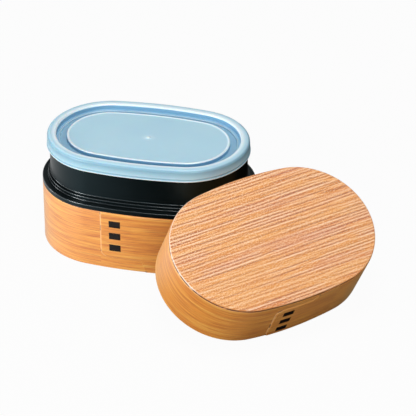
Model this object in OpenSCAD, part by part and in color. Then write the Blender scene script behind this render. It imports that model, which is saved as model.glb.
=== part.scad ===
// Two-tier oval lunch box of bentwood form, shown opened.
// The lower box is a bent hoop with a base board and a black liner whose rim band caps the hoop.
// The black upper container nests in the liner and is closed by a soft snap-on seal lid.
// The deep outer lid is a hoop with a top board. It is taken off and leans on the lower box.
// X runs along the box, Z is up, and the origin is the middle of the base.
// A mouth frame has its z = 0 on a hoop's open rim and z rising to its closed end.

/* [Outline] */
// Length of the oval over the hoop
box_length = 166; // [150:1:190]
// Width of the oval over the hoop
box_width = 109; // [98:1:120]
// How far the long sides bow out past the end circles
side_bow = 2; // [1:0.5:6]

/* [Hoops] */
// Thickness of the bent hoop wall
hoop_wall = 3.6; // [2.8:0.1:5]
// Height of the lower box's hoop
body_hoop_h = 49; // [40:1:60]
// Height of the outer lid's hoop
lid_hoop_h = 40.4; // [39.4:0.2:52]
// Gap round parts that are glued or pressed into one another
joint_gap = 0.1; // [0.05:0.05:0.2]

/* [Lap of the hoops] */
// Distance from the middle of the long side to the lap's cut end
lap_start = 25; // [21:1:35]
// Distance from the middle to where the lap widens to the full height
lap_step = 10; // [4:1:18]
// Distance from the middle to where the lap has faded out
lap_end = 30; // [24:1:36]
// How far the cut end stands out of the hoop
lap_raise = 0.8; // [0.4:0.1:1.2]
// Corner radius of the lap's cut end
lap_corner = 5; // [2:0.5:8]
// Bare height between the body's lap and its closed end
body_lap_margin = 10; // [6:1:14]
// Bare height between the lid's lap and its closed end
lid_lap_margin = 5.6; // [4:0.2:9]

/* [Stitches] */
// Number of bark stitches that close each lap
stitch_count = 3; // [2:1:3]
// Length of a stitch along the hoop
stitch_w = 9; // [6:0.5:12]
// Height of a stitch
stitch_h = 5.7; // [4:0.1:8]
// Height from one stitch to the next
stitch_pitch = 10.35; // [9:0.05:12]
// Distance from the middle of the long side to the stitches
stitch_x = 13.3; // [10:0.1:16]
// Depth of a stitch's strip
stitch_t = 0.8; // [0.5:0.1:1.2]
// How far a stitch stands out of the lap
stitch_proud = 0.15; // [0.05:0.05:0.3]
// Height from the body's rim to its first stitch
body_stitch_drop = 9.4; // [7:0.1:12]
// Height from the lid's rim to its first stitch
lid_stitch_drop = 6.8; // [5:0.1:9]

/* [Boards] */
// Thickness of the base board inside the hoop
base_t = 4; // [3:0.5:6]
// Thickness of the lid's top board over the hoop
panel_t = 2.2; // [1.6:0.1:4]
// Depth of the board's shoulder inside the hoop
panel_plug = 2; // [1:0.5:4]
// Radius of the board's upper edge
panel_edge = 1; // [0.5:0.1:1.5]
// How far the board's edge is set in from the hoop
panel_set = 0.3; // [0.1:0.1:0.8]

/* [Liner] */
// Wall of the black liner
liner_wall = 2; // [1.5:0.1:3]
// Floor of the black liner
liner_floor = 1.8; // [1.2:0.1:3]
// Radius between the liner's floor and wall
liner_fillet = 5; // [3:0.5:8]
// Height of the rim band over the hoop
band_h = 3.8; // [2.5:0.1:6]
// Radius of the band's upper outer edge
band_edge = 1; // [0.5:0.1:1.4]

/* [Upper container] */
// Gap between nested parts that lift apart
nest_gap = 0.4; // [0.3:0.05:0.6]
// Gap between the outer lid's wall and the flange that centres it
lid_gap = 0.5; // [0.3:0.1:0.8]
// Height of the flange that stands on the band
flange_h = 3.7; // [2.5:0.1:5]
// Width of the ledge on top of the flange
flange_ledge = 2.2; // [1.6:0.1:3]
// Radius of the flange's upper edge
flange_edge = 0.5; // [0.3:0.1:0.8]
// Radius at the foot of the neck
neck_foot = 1.1; // [0.6:0.1:1.5]
// Height of the container's rim over the band
cup_h = 35.1; // [30:0.1:36]
// Wall of the container
cup_wall = 2; // [1.5:0.1:2.6]
// Depth of the spigot that sits in the liner
spigot_h = 6; // [4:0.5:10]
// Floor of the container
cup_floor = 2; // [1.5:0.1:3]
// Radius between the container's floor and wall
cup_fillet = 5; // [3:0.5:8]

/* [Seal lid] */
// Thickness of the soft lid
seal_t = 1.3; // [1:0.1:1.6]
// Height of the lid's skirt from its lower edge to the crest
skirt_h = 9.8; // [8:0.1:12]
// Gap between the skirt and the neck
skirt_gap = 0.9; // [0.4:0.1:1.2]
// Slope of the skirt over its height
skirt_draft = 0.6; // [0:0.1:0.8]
// Width of the rounded rim from the skirt to the channel
rim_w = 7; // [6:0.1:9]
// Radius on the outside of the rim
rim_outer_r = 2.4; // [1.5:0.1:2.8]
// Radius on the inside of the rim
rim_inner_r = 1.4; // [0.8:0.1:2]
// Depth of the channel's step under the crest
step_drop = 4.4; // [3:0.1:5]
// Width of the channel's step
step_w = 2.6; // [1.5:0.1:3.5]
// Depth of the channel's floor under the crest
channel_drop = 5.9; // [5.2:0.1:7]
// Width of the channel's floor
channel_w = 5.4; // [4:0.1:8]
// Depth of the panel's edge under the crest
panel_drop = 2.1; // [1.6:0.1:3.5]
// Depth of the dish inside the panel's edge
dish_drop = 0.5; // [0.2:0.1:1]
// Width of the slope from the panel's edge to the dish
dish_w = 2.4; // [1:0.1:4]
// Radius of the panel's edge
panel_lip_r = 0.9; // [0.5:0.1:1.2]
// Thickness of the sealing lip inside the container
lip_t = 1.2; // [0.8:0.1:1.6]
// Depth of the sealing lip under the container's rim
lip_h = 4; // [3:0.1:5]
// Radius of the gate mark in the middle of the lid
gate_r = 1.6; // [1:0.1:2.5]
// Height of the gate mark
gate_h = 0.3; // [0.2:0.1:0.5]

/* [Divider] */
// Thickness of the divider's web and feet
divider_t = 1.6; // [1.2:0.1:2.4]
// Length of the feet that lie along the walls
divider_foot = 14; // [10:1:24]
// Gap between the divider and the walls where the container is narrowest
divider_gap = 1; // [0.6:0.1:1.5]
// Radius of the divider's lower corners, which clear the container's fillet
divider_corner = 9; // [7:0.5:12]
// How far the divider slides each way from the middle
divider_travel = 20; // [5:1:20]
// Gap between the divider and the seal lid
divider_top_gap = 3.7; // [2:0.1:6]

/* [Leaning lid] */
// Direction in which the lid leans away from the body
lean_turn = -44.3; // [-60:0.1:-30]
// Distance from the lid's near edge to where its rim touches the band
lean_overlap = 0.5; // [0.2:0.1:2]
// Gap left between the lid's rim and the band's edge
seat_gap = 0.3; // [0.2:0.1:0.5]

/* [Hidden] */
$fn = 192;
slack = 1;

// Four-arc oval: two end circles joined by two long side arcs
half_l = box_length / 2;
half_w = box_width / 2;
end_r = half_w - side_bow;
end_x = half_l - end_r;
side_r = (end_x * end_x + half_w * half_w - end_r * end_r) / (2 * side_bow);
side_y = side_r - half_w;
tangent_turn = atan2(end_x, side_y);

// Insets of the nested walls, counted from the oval's edge
liner_out = hoop_wall + joint_gap;
liner_in = liner_out + liner_wall;
spigot_out = liner_in + nest_gap;
flange_out = hoop_wall + lid_gap;
neck_out = flange_out + flange_ledge;
neck_in = neck_out + cup_wall;

// Levels of the standing parts
band_top = body_hoop_h + band_h;
flange_top = band_top + flange_h;
cup_top = band_top + cup_h;
cup_bottom = band_top - spigot_h;
cup_floor_top = cup_bottom + cup_floor;

// Seal lid: insets and levels of its section, from the skirt inwards
crest = cup_top + seal_t;
skirt_bottom = crest - skirt_h;
skirt_in = neck_out - skirt_gap;
skirt_out = skirt_in - seal_t;
rim_out = skirt_out + skirt_draft;
rim_in = rim_out + rim_w;
step_in = rim_in + step_w;
channel_in = step_in + channel_w;
dish_in = channel_in + dish_w;
lip_out = neck_in + nest_gap;
lip_in = lip_out + lip_t;
seal_reach = dish_in + slack;

// Divider: fits between the long sides at the ends of its travel
divider_far = divider_travel + divider_foot / 2;
divider_half = side_edge(divider_far, neck_in) - divider_gap;
divider_top = crest - channel_drop - seal_t - divider_top_gap;
divider_bottom = cup_floor_top + joint_gap;

// Lap: the oval turned about the point where the lap fades out
lap_pivot = [lap_end, -side_edge(lap_end, 0)];
lap_tilt = asin(lap_raise / (lap_start + lap_end));
lap_side_y = lap_pivot.y - lap_pivot.x * sin(lap_tilt) + (side_y - lap_pivot.y) * cos(lap_tilt);
lap_reach = side_r - lap_side_y;

// Leaning lid: its low edge is on the ground and its rim face clears the band's rounded edge
touch_r = band_edge + seat_gap;
touch_run = half_w + lap_reach - lean_overlap;
lean_angle = asin((band_top - band_edge) / norm([touch_run, touch_r])) + atan2(touch_r, touch_run);
touch_out = end_r - band_edge + touch_r * sin(lean_angle);
touch_z = touch_run * sin(lean_angle);

// Half width of the oval at x, for an inset
function side_edge(x, inset) = sqrt(pow(side_r - inset, 2) - x * x) - side_y;

// Two side arcs up to a half length, with the round ends
module arcs(inset, switch_x) {
    intersection() {
        translate([0, -side_y]) circle(side_r - inset);
        translate([0, side_y]) circle(side_r - inset);
        square([2 * switch_x, 2 * half_w], center = true);
    }
    for (side = [-1, 1]) translate([side * end_x, 0]) circle(end_r - inset);
}

// The oval, drawn in by an inset
module oval(inset) {
    arcs(inset, end_x + (end_r - inset) * sin(tangent_turn));
}

// Outline of a plate whose edge is inside a swept wall
module plate(inset) {
    arcs(inset, end_x);
}

// Sweeps a section once round the oval; its x is the inset and its y is the height
module around() {
    for (x = [0, 1], y = [0, 1]) mirror([x, 0, 0]) mirror([0, y, 0]) quarter() children();
}

// Sweeps a section through a quarter of the oval: both arcs start at the plane where they are tangent
module quarter() {
    intersection() {
        translate([0, -side_y]) rotate(90 - tangent_turn) {
            arc_sweep(side_r, 2 * tangent_turn) children();
            translate([side_r - end_r, 0]) rotate(-90) arc_sweep(end_r, 90) children();
        }
        cube([box_length, box_width, 2 * box_width]);
    }
}

// Sweeps a section through one arc of the oval
module arc_sweep(r, turn) {
    rotate_extrude(angle = turn) translate([r, 0]) mirror([1, 0]) children();
}

// A rectangle of a section, from its low corner to its high corner
module slab(low, high) {
    translate(low) square(high - low);
}

// The same, with its outer upper corner rounded
module rounded_slab(low, high, r) {
    slab([low.x + r, low.y], high);
    slab(low, [high.x, high.y - r]);
    translate([low.x + r, high.y - r]) circle(r);
}

// The concave fillet between a floor and a wall that stands outside it
module corner_fillet(corner, r) {
    difference() {
        slab([corner.x - slack, corner.y - slack], [corner.x + r, corner.y + r]);
        translate([corner.x + r, corner.y + r]) circle(r);
    }
}

// The hoop's outline where its outer end laps over
module lap_oval(inset) {
    translate(lap_pivot) rotate(lap_tilt) translate(-lap_pivot) oval(inset);
}

// Face of the lap in a mouth frame: a narrow tongue with a rounded corner, then the full height
module lap_face(height, margin) {
    tongue_h = height - margin;
    slab([-lap_start, 0], [lap_step, tongue_h - lap_corner]);
    slab([lap_corner - lap_start, 0], [lap_step, tongue_h]);
    translate([lap_corner - lap_start, tongue_h - lap_corner]) circle(lap_corner);
    slab([lap_step, 0], [lap_end + slack, height]);
}

// Runs a face drawn in x and z out through the long side at the front
module through_front() {
    rotate([90, 0, 0]) linear_extrude(half_w + lap_raise + slack) children();
}

// Faces of the stitches in a mouth frame, grown by a gap
module stitch_faces(drop, grow) {
    for (i = [0:stitch_count - 1]) translate([-stitch_x, drop + i * stitch_pitch])
        square([stitch_w + 2 * grow, stitch_h + 2 * grow], center = true);
}

// A bent hoop with its lap and the pockets of its stitches, in a mouth frame
module hoop(height, margin, drop) {
    pocket = stitch_t - stitch_proud + joint_gap;
    difference() {
        union() {
            linear_extrude(height) oval(0);
            intersection() {
                linear_extrude(height) lap_oval(0);
                through_front() lap_face(height, margin);
            }
        }
        translate([0, 0, -slack]) linear_extrude(height + 2 * slack) oval(hoop_wall);
        difference() {
            through_front() stitch_faces(drop, joint_gap);
            linear_extrude(height) lap_oval(pocket);
        }
    }
}

// Bark strips let into the lap, in a mouth frame
module stitches(height, drop) {
    intersection() {
        linear_extrude(height) difference() {
            lap_oval(-stitch_proud);
            lap_oval(stitch_t - stitch_proud);
        }
        through_front() stitch_faces(drop, 0);
    }
}

// Puts a mouth frame on top of the lower box, open side up
module body_mouth() {
    translate([0, 0, body_hoop_h]) mirror([0, 0, 1]) children();
}

// Puts a mouth frame where the lid stands on its low edge and leans on the band
module lean() {
    translate([end_x, 0, 0]) rotate(lean_turn) translate([touch_out, 0, touch_z])
        rotate([lean_angle, 0, 90]) translate([0, lean_overlap - half_w, 0]) children();
}

// Lower box

module body_hoop() {
    color("#d98d4b") body_mouth() hoop(body_hoop_h, body_lap_margin, body_stitch_drop);
}

module body_base() {
    color("#c57f42") linear_extrude(base_t) oval(liner_out);
}

module body_stitches() {
    color("#14110f") body_mouth() stitches(body_hoop_h, body_stitch_drop);
}

module body_liner() {
    floor_top = base_t + liner_floor;
    color("#17191a") union() {
        around() {
            slab([liner_out, base_t], [liner_in, band_top - slack]);
            rounded_slab([0, body_hoop_h], [liner_in, band_top], band_edge);
            corner_fillet([liner_in, floor_top], liner_fillet);
        }
        translate([0, 0, base_t]) linear_extrude(liner_floor) plate(liner_out + slack);
    }
}

// Upper container

module upper_container() {
    color("#1b1e1f") union() {
        around() {
            slab([spigot_out, cup_bottom], [neck_in, band_top + slack]);
            rounded_slab([flange_out, band_top], [neck_in, flange_top], flange_edge);
            slab([neck_out, flange_top - slack], [neck_in, cup_top]);
            difference() {
                slab([neck_out - neck_foot, flange_top - slack], [neck_out + slack, flange_top + neck_foot]);
                translate([neck_out - neck_foot, flange_top + neck_foot]) circle(neck_foot);
            }
            corner_fillet([neck_in, cup_floor_top], cup_fillet);
        }
        translate([0, 0, cup_bottom]) linear_extrude(cup_floor) plate(spigot_out + slack);
    }
}

// Side of the divider, drawn in y and z: its lower corners are round
module divider_side() {
    corner_y = divider_half - divider_corner;
    slab([-divider_half, divider_bottom + divider_corner], [divider_half, divider_top]);
    slab([-corner_y, divider_bottom], [corner_y, divider_top]);
    for (side = [-1, 1]) translate([side * corner_y, divider_bottom + divider_corner]) circle(divider_corner);
}

module container_divider() {
    color("#26292a") intersection() {
        rotate([90, 0, 90]) linear_extrude(divider_foot + slack, center = true) divider_side();
        linear_extrude(divider_top) {
            square([divider_t, 2 * divider_half - divider_t], center = true);
            for (side = [-1, 1]) translate([0, side * (divider_half - divider_t / 2)])
                square([divider_foot, divider_t], center = true);
        }
    }
}

// Seal lid: the region under its upper side
module seal_upper() {
    lip_level = crest - panel_drop;
    shoulder = crest - rim_outer_r;
    polygon([[skirt_out, skirt_bottom], [rim_out, shoulder], [neck_out, shoulder], [neck_out, skirt_bottom]]);
    translate([rim_out + rim_outer_r, shoulder]) circle(rim_outer_r);
    slab([rim_out + rim_outer_r, skirt_bottom], [rim_in - rim_inner_r, crest]);
    translate([rim_in - rim_inner_r, crest - rim_inner_r]) circle(rim_inner_r);
    slab([neck_out, skirt_bottom], [rim_in, crest - rim_inner_r]);
    slab([neck_out, skirt_bottom], [step_in, crest - step_drop]);
    slab([neck_out, skirt_bottom], [seal_reach, crest - channel_drop]);
    slab([channel_in, skirt_bottom], [dish_in, lip_level - panel_lip_r]);
    translate([channel_in + panel_lip_r, lip_level - panel_lip_r]) circle(panel_lip_r);
    polygon([[channel_in + panel_lip_r, lip_level], [dish_in, lip_level - dish_drop],
             [seal_reach, lip_level - dish_drop], [seal_reach, skirt_bottom],
             [channel_in + panel_lip_r, skirt_bottom]]);
}

// Seal lid: the region under its lower side
module seal_lower() {
    under_step = crest - step_drop - seal_t;
    under_channel = crest - channel_drop - seal_t;
    under_dish = crest - panel_drop - dish_drop - seal_t;
    slab([skirt_in, skirt_bottom - slack], [lip_out, cup_top]);
    slab([lip_out - slack, skirt_bottom - slack], [lip_in + slack, cup_top - lip_h]);
    slab([lip_in, skirt_bottom - slack], [step_in - seal_t, under_step]);
    slab([lip_in, skirt_bottom - slack], [seal_reach + slack, under_channel]);
    slab([channel_in + seal_t, skirt_bottom - slack], [seal_reach + slack, under_dish]);
}

module seal_lid() {
    dish = crest - panel_drop - dish_drop;
    color("#a9d0e2") union() {
        around() difference() {
            seal_upper();
            seal_lower();
        }
        translate([0, 0, dish - seal_t]) linear_extrude(seal_t) plate(dish_in + slack / 2);
        translate([0, 0, dish - seal_t]) cylinder(r = gate_r, h = seal_t + gate_h);
    }
}

// Outer lid

module lid_hoop() {
    color("#d98d4b") lean() hoop(lid_hoop_h, lid_lap_margin, lid_stitch_drop);
}

module lid_stitches() {
    color("#14110f") lean() stitches(lid_hoop_h, lid_stitch_drop);
}

module lid_top_panel() {
    color("#e0a672") lean() union() {
        translate([0, 0, lid_hoop_h - panel_plug]) linear_extrude(panel_plug) oval(liner_out);
        translate([0, 0, lid_hoop_h]) linear_extrude(panel_t) plate(panel_set + panel_edge + slack);
        around() rounded_slab([panel_set, lid_hoop_h],
                              [panel_set + panel_edge + 2 * slack, lid_hoop_h + panel_t], panel_edge);
    }
}

body_hoop();
body_base();
body_stitches();
body_liner();
upper_container();
container_divider();
seal_lid();
lid_hoop();
lid_stitches();
lid_top_panel();
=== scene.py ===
import math

import bmesh
import bpy
import numpy as np
from mathutils import Matrix, Vector


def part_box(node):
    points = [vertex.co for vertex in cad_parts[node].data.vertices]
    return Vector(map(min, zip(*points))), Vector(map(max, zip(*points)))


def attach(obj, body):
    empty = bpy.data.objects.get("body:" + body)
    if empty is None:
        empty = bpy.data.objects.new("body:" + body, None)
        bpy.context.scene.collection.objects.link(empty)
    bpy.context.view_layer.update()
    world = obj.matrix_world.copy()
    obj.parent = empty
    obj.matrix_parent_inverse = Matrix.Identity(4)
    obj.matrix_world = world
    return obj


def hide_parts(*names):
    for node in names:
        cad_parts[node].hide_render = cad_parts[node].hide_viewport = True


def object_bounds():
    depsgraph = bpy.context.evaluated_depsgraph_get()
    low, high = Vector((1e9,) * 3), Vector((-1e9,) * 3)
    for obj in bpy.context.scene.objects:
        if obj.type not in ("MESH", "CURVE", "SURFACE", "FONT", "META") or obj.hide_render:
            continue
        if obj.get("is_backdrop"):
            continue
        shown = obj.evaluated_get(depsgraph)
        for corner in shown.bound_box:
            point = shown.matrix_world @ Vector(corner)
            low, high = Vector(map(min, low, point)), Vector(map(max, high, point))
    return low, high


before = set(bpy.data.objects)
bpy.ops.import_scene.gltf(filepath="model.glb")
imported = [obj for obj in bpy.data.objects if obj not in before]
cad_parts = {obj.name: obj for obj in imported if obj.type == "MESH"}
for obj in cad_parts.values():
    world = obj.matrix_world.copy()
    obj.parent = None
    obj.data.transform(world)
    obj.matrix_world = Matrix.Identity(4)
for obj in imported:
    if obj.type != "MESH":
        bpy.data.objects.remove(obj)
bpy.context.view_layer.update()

# ---------------------------------------------------------------- base board of the lower box
# A flat oval board of wood, 4 mm thick, pressed into the lower end of the bent hoop.
# Only its underside shows once the black liner is in. Straight grain runs along the box.

HALF_LENGTH, HALF_WIDTH, SIDE_BOW = 83.0, 54.5, 2.0
END_R = HALF_WIDTH - SIDE_BOW
END_X = HALF_LENGTH - END_R
SIDE_R = (END_X ** 2 + HALF_WIDTH ** 2 - END_R ** 2) / (2 * SIDE_BOW)
SIDE_Y = SIDE_R - HALF_WIDTH
TANGENT = math.atan2(END_X, SIDE_Y)
MILLIMETRE = 0.001
RING_STEP = 1.6
NEARLY_STRAIGHT = 1.5
MERGE_WITHIN = 1e-6
# Insets are counted inwards from the oval. A floor is swept in as far as CAP_INSET, and inside that
# it is one flat face.
BASE_T = 4.0
BOARD_INSET = 3.7
CAP_INSET = 16.0


def oval_ring(step, start_x=None):
    """Stations round the oval, counter-clockwise, as (centre, direction, radius, arc length).
    A point at an inset is centre + (radius - inset) * direction. Two end circles are joined by two
    long side arcs that are tangent to them; start_x is where the ring starts on the front side."""
    front = math.pi * 1.5
    start = front - TANGENT if start_x is None else front + math.asin(start_x / SIDE_R)
    arcs = [
        ((0.0, SIDE_Y), SIDE_R, start, front + TANGENT),
        ((END_X, 0.0), END_R, TANGENT - math.pi / 2, math.pi / 2 - TANGENT),
        ((0.0, -SIDE_Y), SIDE_R, math.pi / 2 - TANGENT, math.pi / 2 + TANGENT),
        ((-END_X, 0.0), END_R, math.pi / 2 + TANGENT, front - TANGENT),
        ((0.0, SIDE_Y), SIDE_R, front - TANGENT, start),
    ]
    centre, turn, radius = [], [], []
    for middle, r, first, last in arcs:
        count = int(round(r * (last - first) / step))
        if count < 1:
            continue
        turn.append(np.linspace(first, last, count, endpoint=False))
        centre.append(np.repeat([middle], count, axis=0))
        radius.append(np.full(count, r))
    turn, centre, radius = np.concatenate(turn), np.concatenate(centre), np.concatenate(radius)
    direction = np.stack([np.cos(turn), np.sin(turn)], axis=1)
    points = centre + radius[:, None] * direction
    hops = np.linalg.norm(np.roll(points, -1, axis=0) - points, axis=1)
    return centre, direction, radius, np.concatenate([[0.0], np.cumsum(hops)])


def rounded_section(corners, arc_steps=5):
    """A section as points (inset, height). Each corner is (inset, height, radius), and is replaced
    by an arc of that radius, tangent to its two sides. The first and last corners stay as they are."""
    at = np.array([c[:2] for c in corners], float)
    points = [at[0]]
    for before, corner, after, (_, _, r) in zip(at[:-2], at[1:-1], at[2:], corners[1:-1]):
        one, two = before - corner, after - corner
        one, two = one / np.linalg.norm(one), two / np.linalg.norm(two)
        half = math.acos(np.clip(one @ two, -1, 1)) / 2
        if r <= 0 or half > NEARLY_STRAIGHT:
            points.append(corner)
            continue
        middle = corner + (one + two) / np.linalg.norm(one + two) * r / math.sin(half)
        from_middle = [corner + v * r / math.tan(half) - middle for v in (one, two)]
        for share in np.linspace(0, 1, arc_steps + 1):
            v = from_middle[0] * (1 - share) + from_middle[1] * share
            points.append(middle + v / np.linalg.norm(v) * r)
    points.append(at[-1])
    return np.array(points)


def stand(points):
    """Places a piece that stands upright: only millimetres become metres."""
    return points * MILLIMETRE


def make_piece(name, points, faces, place, uv=None, values=None, sharp=40):
    """A mesh object from points in millimetres and faces, with its loops' UV and its points' values.
    Doubles are merged and the faces turned to point outwards."""
    mesh = bpy.data.meshes.new(name)
    mesh.from_pydata(place(np.asarray(points, float)).tolist(), [], faces)
    for key, numbers in (values or {}).items():
        layer = mesh.attributes.new(key, "FLOAT", "POINT")
        layer.data.foreach_set("value", np.asarray(numbers, np.float32))
    if uv is not None:
        layer = mesh.uv_layers.new(name="along")
        layer.data.foreach_set("uv", np.asarray(uv, np.float32).ravel())
    shape = bmesh.new()
    shape.from_mesh(mesh)
    bmesh.ops.remove_doubles(shape, verts=shape.verts, dist=MERGE_WITHIN)
    bmesh.ops.recalc_face_normals(shape, faces=shape.faces)
    shape.to_mesh(mesh)
    shape.free()
    mesh.shade_smooth()
    mesh.set_sharp_from_angle(angle=math.radians(sharp))
    piece = bpy.data.objects.new(name, mesh)
    bpy.context.scene.collection.objects.link(piece)
    return piece


def swept(section, ring):
    """Points, quads and loop UVs of a section carried once round a ring: the point of station i and
    section point j is centre_i + (radius_i - inset_j) * direction_i, at height_j. U is the length
    round the oval and V the length along the section, in metres."""
    centre, direction, radius, length = ring
    count, steps = len(radius), len(section)
    flat = centre[:, None] + (radius[:, None] - section[None, :, 0])[..., None] * direction[:, None]
    height = np.broadcast_to(section[:, 1], (count, steps))
    points = np.concatenate([flat, height[..., None]], axis=2).reshape(-1, 3)
    along = np.concatenate([[0.0], np.cumsum(np.linalg.norm(np.diff(section, axis=0), axis=1))])
    i, j = np.meshgrid(np.arange(count), np.arange(steps - 1), indexing="ij")
    far = (i + 1) % count
    quads = np.stack([i * steps + j, far * steps + j, far * steps + j + 1, i * steps + j + 1], -1)
    u = np.stack([length[i], length[i + 1], length[i + 1], length[i]], -1)
    v = np.stack([along[j], along[j], along[j + 1], along[j + 1]], -1)
    return points, quads.reshape(-1, 4), np.stack([u, v], -1).reshape(-1, 2) * MILLIMETRE


def capped_sweep(section, ring):
    """Points, faces and loop UVs of a swept section with a flat face across each of its two ends,
    for a piece with a flat floor. The UV of those two faces is their x and y, in metres."""
    points, quads, uv = swept(section, ring)
    count, steps = len(ring[2]), len(section)
    caps = [(np.arange(count) * steps + end).tolist() for end in (0, steps - 1)]
    cap_uv = points[np.concatenate(caps)][:, :2] * MILLIMETRE
    return points, quads.tolist() + caps, np.vstack([uv, cap_uv])


def swept_piece(name, section, ring, place, values=None, sharp=40):
    """A closed piece from a capped sweep. Each of its values is a function of the section's points,
    and is the same all the way round."""
    points, faces, uv = capped_sweep(section, ring)
    numbers = {key: np.tile(value(section), len(ring[2])) for key, value in (values or {}).items()}
    return make_piece(name, points, faces, place, uv, numbers, sharp)


def srgb(red, green, blue):
    """A colour as it is seen on a screen, 0 to 255, as the linear colour that a shader takes."""
    seen = np.array([red, green, blue]) / 255
    linear = np.where(seen <= 0.04045, seen / 12.92, ((seen + 0.055) / 1.055) ** 2.4)
    return (*linear.tolist(), 1.0)


class Wire:
    """A shader socket. Sums, differences and products of wires and numbers add their Math nodes."""

    def __init__(self, tree, socket):
        self.tree, self.socket = tree, socket

    def node(self, kind, settings=None, inputs=None, output=0):
        """Adds a node: its settings first (a ramp's stops are (place, colour) pairs), then its inputs."""
        made = self.tree.nodes.new("ShaderNode" + kind)
        for key, value in (settings or {}).items():
            if key == "stops":
                elements = made.color_ramp.elements
                for place, colour in value[2:]:
                    elements.new(place)
                for element, (place, colour) in zip(elements, value):
                    element.position, element.color = place, colour
            else:
                setattr(made, key, value)
        for key, value in (inputs or {}).items():
            if isinstance(value, Wire):
                self.tree.links.new(value.socket, made.inputs[key])
            else:
                made.inputs[key].default_value = value
        return Wire(self.tree, made.outputs[output])

    def on_piece(self):
        """Where the shaded point lies on its piece, in metres."""
        return self.node("TexCoord", output="Object")

    def carried(self, name):
        """A value that the piece's own points carry under this name."""
        return self.node("Attribute", {"attribute_name": name}, output="Fac")

    def maths(self, operation, other=0.0, clamp=False):
        """One Math node, with this wire as its first value."""
        return self.node("Math", {"operation": operation, "use_clamp": clamp}, {0: self, 1: other})

    def __add__(self, other):
        return self.maths("ADD", other)

    def __sub__(self, other):
        return self.maths("SUBTRACT", other)

    def __mul__(self, other):
        return self.maths("MULTIPLY", other)

    def __rsub__(self, other):
        return self.maths("MULTIPLY", -1.0).maths("ADD", other)

    __radd__ = __add__

    def span(self, low, high):
        """How far the value is from low to high, held between 0 and 1."""
        return ((self - low) * (1 / (high - low))).maths("ADD", 0.0, clamp=True)

    def scaled(self, x, y, z):
        """A place times a number for each axis. Under a noise these are its cells in a metre."""
        return self.node("VectorMath", {"operation": "MULTIPLY"}, {0: self, 1: (x, y, z)})

    def moved(self, other):
        """A place with another wire added to it."""
        return self.node("VectorMath", {"operation": "ADD"}, {0: self, 1: other})

    def noise(self, detail=3.0, roughness=0.55):
        """Noise with cells of size 1 at this place."""
        return self.node("TexNoise", None, {"Vector": self, "Scale": 1.0, "Detail": detail,
                                            "Roughness": roughness, "Distortion": 0.0})

    def ramp(self, *stops):
        """A colour for each value, between stops of a place and a colour."""
        return self.node("ValToRGB", {"stops": stops}, {0: self})

    def blend(self, first, second):
        """The first colour where this wire is 0 and the second where it is 1."""
        settings = {"data_type": "RGBA", "blend_type": "MIX"}
        return self.node("Mix", settings, {0: self, 6: first, 7: second}, output=2)


def new_finish(name, **constants):
    """A material with one Principled shader. Its constants are set on the shader's own sockets."""
    finish = bpy.data.materials.new(name)
    finish.use_nodes = True
    shader = finish.node_tree.nodes["Principled BSDF"]
    for key, value in constants.items():
        shader.inputs[key.replace("_", " ")].default_value = value
    return finish, shader, Wire(finish.node_tree, None)


def connect(shader, colour, roughness, height, depth, coat=None):
    """Feeds a colour, a roughness, a bump of that depth in metres and a coat to the shader."""
    links = shader.id_data.links
    if coat is not None:
        links.new(coat.socket, shader.inputs["Coat Weight"])
    links.new(colour.socket, shader.inputs["Base Color"])
    links.new(roughness.socket, shader.inputs["Roughness"])
    bump = height.node("Bump", None, {"Height": height, "Distance": depth, "Strength": 1.0})
    links.new(bump.socket, shader.inputs["Normal"])


board_finish, shader, wire = new_finish("board_grain", Specular_IOR_Level=0.35)
place = wire.on_piece()
wander = place.scaled(9, 9, 9).noise(1.0)
lines = place.scaled(14, 420, 420).moved(wander).noise(4.0, 0.62)
pores = place.scaled(60, 1900, 1900).noise(2.0, 0.5)
LATE_WOOD, MID_WOOD, EARLY_WOOD = srgb(188, 122, 62), srgb(214, 150, 84), srgb(228, 172, 106)
PORE_BROWN = srgb(150, 92, 44)
colour = lines.ramp((0.25, LATE_WOOD), (0.5, MID_WOOD), (0.75, EARLY_WOOD))
colour = (pores.span(0.62, 0.75) * 0.35).blend(colour, PORE_BROWN)
connect(shader, colour, 0.42 + lines * 0.18, lines, 0.00012)

section = rounded_section([(CAP_INSET, BASE_T, 0), (BOARD_INSET, BASE_T, 0.2),
                           (BOARD_INSET, 0, 0.5), (CAP_INSET, 0, 0)])
plain_ring = oval_ring(RING_STEP)
lower_board = swept_piece("lower_board", section, plain_ring, stand)
lower_board.data.materials.append(board_finish)
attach(lower_board, "lower_box")
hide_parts("body_base")

# ---------------------------------------------------------------- bent hoop of the lower box
# A strip of wood 3.6 mm thick, steamed and bent round into an oval. Its outer end is skived to a
# narrow tongue with a rounded corner that laps over the strip at the front and stands 0.8 mm proud.
# Satin varnish lies over fine streaks along the strip. The lap's cut end shows paler bare wood, the same
# pale colour along the tongue's top edge is a painted highlight, and the seam is a faint painted highlight
# line.

BODY_H = 49.0
HOOP_WALL = 3.6
LAP_START, LAP_STEP, LAP_END = 25.0, 10.4, 30.0
LAP_RAISE, LAP_CORNER = 0.8, 5.0
LAP_TILT = math.asin(LAP_RAISE / (LAP_START + LAP_END))
BODY_MARGIN = 10.0
# The lap climbs to the hoop's full height over LAP_SLOPE and stops LAP_SHY short of it. It starts
# LAP_RIM_GAP from the open rim and fades in over LAP_FADE. Even its bevels' ends are LAP_SKIN proud.
LAP_SLOPE, LAP_SHY = 3.6, 0.1
LAP_RIM_GAP, LAP_FADE, LAP_SKIN = 0.5, 0.3, 0.02
# Its hidden back is LAP_DEPTH inside the wall and keeps LAP_TUCK from the wall's ends.
LAP_DEPTH, LAP_TUCK = 1.2, 0.8
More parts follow.
